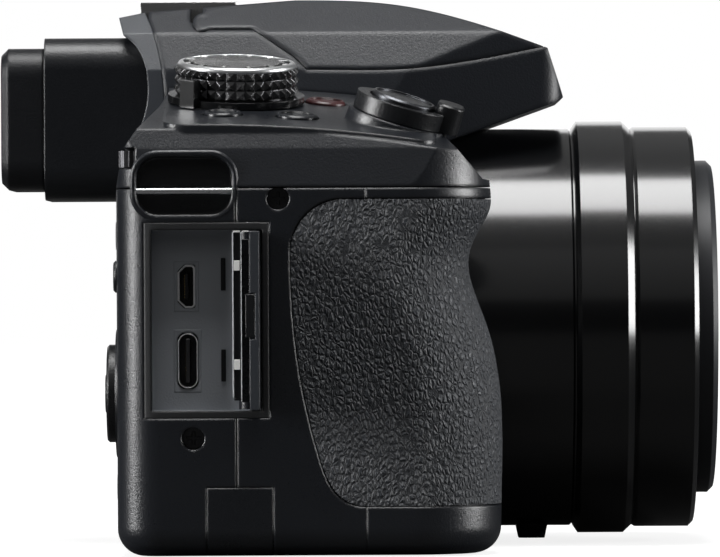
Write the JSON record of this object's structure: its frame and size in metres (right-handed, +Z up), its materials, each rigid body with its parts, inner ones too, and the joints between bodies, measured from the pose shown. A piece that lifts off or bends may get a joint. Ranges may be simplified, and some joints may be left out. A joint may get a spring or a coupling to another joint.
{
  "type": "bridge camera",
  "caption": "Bridge camera with fixed zoom lens, hand grip, electronic viewfinder, pop-up flash, hot shoe, control dials and a side port door.",
  "frame": {"origin": "mouth of the tripod socket in the base, under the lens axis", "axes": "+Z up, the lens looks along -Y, the hand grip is on the -X side"},
  "size_m": [0.1427, 0.1251, 0.0956],
  "materials": {
    "body_black": "fine texture",
    "body_accent": "smooth",
    "grip_rubber": "pebbled",
    "eyecup_rubber": "smooth",
    "lens_black": "satin",
    "lens_front_black": "fine",
    "tube_black": "satin",
    "optics": "coated",
    "flash_diffuser": "ribbed",
    "flash_black": "satin",
    "shoe_steel": "satin",
    "contact_gold": "polished",
    "dial_black": "turned",
    "lever_black": "satin",
    "release_silver": "turned",
    "button_black": "satin",
    "record_red": "satin",
    "socket_steel": "satin",
    "screen_black": "polished",
    "sensor_dark": "coated",
    "cell_grey": "smooth",
    "frame_grey": "smooth",
    "frame_steel": "brushed",
    "board_green": "smooth"
  },
  "bodies": {
    "camera": {"front_case": "body_black", "grip_leather": "grip_rubber", "handgrip": "body_black", "rear_case": "body_black", "top_cover": "body_black", "viewfinder_collar": "body_accent", "hump_housing": "body_black", "lid_pins": "shoe_steel", "hot_shoe": "shoe_steel", "shoe_contacts": "contact_gold", "viewfinder_housing": "body_black", "eyecup": "eyecup_rubber", "eyepiece_lens": "optics", "viewfinder_display": "screen_black", "lens_barrel": "lens_black", "barrel_ring": "lens_black", "front_ring": "lens_front_black", "barrel_foot": "body_accent", "rear_lens_group": "optics", "image_sensor": "sensor_dark", "strap_bar_right": "shoe_steel", "strap_bar_left": "shoe_steel", "port_panel": "body_accent", "video_socket": "socket_steel", "usb_socket": "socket_steel", "base_plate": "body_black", "tripod_bush": "socket_steel", "battery": "cell_grey", "memory_card": "cell_grey", "battery_box": "frame_grey", "chassis": "frame_steel", "main_board": "board_green", "display_panel": "screen_black", "display_glass": "screen_black", "screws": "socket_steel"},
    "flash_lid": {"flash_lid": "body_black", "flash_head": "flash_black", "flash_window": "flash_diffuser"},
    "middle_barrel": {"middle_barrel": "tube_black"},
    "front_barrel": {"front_barrel": "tube_black", "front_trim": "lens_front_black", "front_element": "optics"},
    "mode_dial": {"mode_dial": "dial_black"},
    "power_lever": {"power_lever": "lever_black"},
    "drive_button": {"drive_button": "button_black"},
    "function_button": {"function_button": "button_black"},
    "record_button": {"record_button": "record_red"},
    "shutter_button": {"shutter_button": "release_silver"},
    "centre_button": {"centre_button": "button_black"},
    "cursor_pad": {"cursor_pad": "button_black"},
    "display_button": {"display_button": "button_black"},
    "play_button": {"play_button": "button_black"},
    "lock_button": {"lock_button": "button_black"},
    "zoom_lever": {"zoom_lever": "release_silver"},
    "rear_dial": {"rear_dial": "dial_black"},
    "diopter_dial": {"diopter_dial": "dial_black"},
    "port_door": {"port_door": "body_accent"},
    "coupler_flap": {"coupler_flap": "body_black"},
    "battery_door": {"battery_door": "body_black"},
    "door_lock": {"door_lock": "frame_grey"}
  },
  "joints": [
    {"name": "flash_lid_hinge", "type": "hinge", "parent": "camera", "child": "flash_lid", "pos_m": [0, 0.0194, 0.0916], "axis": [-1, 0, 0], "range_deg": [0, 50]},
    {"name": "middle_barrel_slide", "type": "slide", "parent": "camera", "child": "middle_barrel", "axis": [0, -1, 0], "range_m": [0, 0.036]},
    {"name": "front_barrel_slide", "type": "slide", "parent": "middle_barrel", "child": "front_barrel", "axis": [0, -1, 0], "range_m": [0, 0.038]},
    {"name": "mode_dial_turn", "type": "hinge", "parent": "camera", "child": "mode_dial", "pos_m": [-0.045, 0.0131, 0.07693], "axis": [-0.1564, -0.0235, 0.9874], "continuous": true},
    {"name": "power_lever_turn", "type": "hinge", "parent": "camera", "child": "power_lever", "pos_m": [-0.045, 0.0131, 0.07693], "axis": [-0.1564, -0.0235, 0.9874], "range_deg": [0, 30]},
    {"name": "zoom_lever_turn", "type": "hinge", "parent": "camera", "child": "zoom_lever", "pos_m": [-0.05714, -0.01466, 0.0737], "axis": [-0.1546, -0.2889, 0.9448], "range_deg": [-20, 20], "stiffness_Nm_per_rad": 0.02},
    {"name": "shutter_press", "type": "slide", "parent": "camera", "child": "shutter_button", "axis": [0.1546, 0.2889, -0.9448], "range_m": [0, 0.0014], "stiffness_N_per_m": 900},
    {"name": "drive_press", "type": "slide", "parent": "camera", "child": "drive_button", "axis": [0.1564, 0.0155, -0.9876], "range_m": [0, 0.0005], "stiffness_N_per_m": 1500},
    {"name": "function_press", "type": "slide", "parent": "camera", "child": "function_button", "axis": [0.1561, 0.0656, -0.9856], "range_m": [0, 0.0005], "stiffness_N_per_m": 1500},
    {"name": "record_press", "type": "slide", "parent": "camera", "child": "record_button", "axis": [0.1559, 0.0841, -0.9842], "range_m": [0, 0.0005], "stiffness_N_per_m": 1500},
    {"name": "display_press", "type": "slide", "parent": "camera", "child": "display_button", "axis": [0, -1, 0], "range_m": [0, 0.0005], "stiffness_N_per_m": 1500},
    {"name": "play_press", "type": "slide", "parent": "camera", "child": "play_button", "axis": [0, -1, 0], "range_m": [0, 0.0005], "stiffness_N_per_m": 1500},
    {"name": "lock_press", "type": "slide", "parent": "camera", "child": "lock_button", "axis": [0, -1, 0], "range_m": [0, 0.0005], "stiffness_N_per_m": 1500},
    {"name": "centre_press", "type": "slide", "parent": "camera", "child": "centre_button", "axis": [0, -1, 0], "range_m": [0, 0.0005], "stiffness_N_per_m": 1500},
    {"name": "cursor_pad_press", "type": "slide", "parent": "camera", "child": "cursor_pad", "axis": [0, -1, 0], "range_m": [0, 0.0004], "stiffness_N_per_m": 1800},
    {"name": "rear_dial_turn", "type": "hinge", "parent": "camera", "child": "rear_dial", "pos_m": [-0.0618, 0.0254, 0.06685], "axis": [0, 0, 1], "continuous": true},
    {"name": "diopter_turn", "type": "hinge", "parent": "camera", "child": "diopter_dial", "pos_m": [0.0195, 0.04, 0.072], "axis": [1, 0, 0], "continuous": true},
    {"name": "port_door_hinge", "type": "hinge", "parent": "camera", "child": "port_door", "pos_m": [-0.0736, 0.01055, 0.0396], "axis": [0, 0, 1], "range_deg": [-90, 0]},
    {"name": "coupler_flap_hinge", "type": "hinge", "parent": "camera", "child": "coupler_flap", "pos_m": [-0.0755, 0.0123, 0.0115], "axis": [0, 1, 0], "range_deg": [0, 60], "stiffness_Nm_per_rad": 0.001},
    {"name": "battery_door_hinge", "type": "hinge", "parent": "camera", "child": "battery_door", "pos_m": [-0.0509, -0.004, 0.0009], "axis": [0, -1, 0], "range_deg": [0, 88]},
    {"name": "door_lock_slide", "type": "slide", "parent": "battery_door", "child": "door_lock", "axis": [0, 1, 0], "range_m": [0, 0.0028]}
  ],
  "couplings": [
    {"joint": "front_barrel_slide", "follows": "middle_barrel_slide", "ratio": 1.0556}
  ]
}
